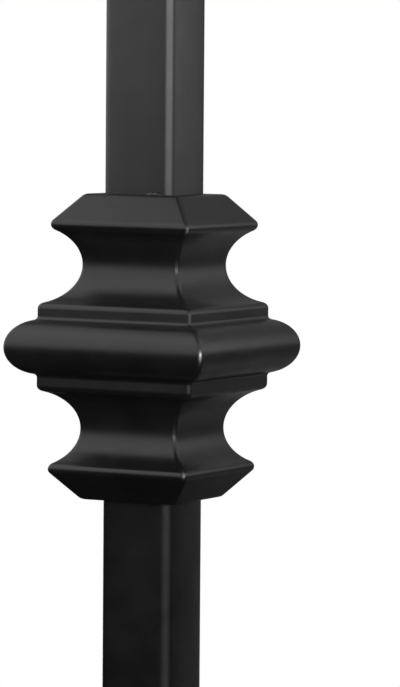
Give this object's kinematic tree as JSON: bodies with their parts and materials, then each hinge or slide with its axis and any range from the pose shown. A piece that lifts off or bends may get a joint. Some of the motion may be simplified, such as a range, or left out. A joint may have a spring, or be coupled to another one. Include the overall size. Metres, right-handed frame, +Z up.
{
  "type": "stair baluster",
  "caption": "Square black metal stair baluster: a straight tube with a moulded square knuckle and a round pin at its top, fixed between a tread and a handrail.",
  "frame": {"origin": "centre of the foot end, on the plane of its cut", "axes": "+Z up along the bar to the pin; the four flats face +-X and +-Y, and the hanging hole faces -Y"},
  "size_m": [0.0362, 0.0362, 1.1176],
  "materials": {
    "black_powder_coat": "satin black powder coat, faintly orange-peeled"
  },
  "bodies": {
    "root": {"bar": "black_powder_coat", "knuckle": "black_powder_coat"}
  },
  "joints": []
}
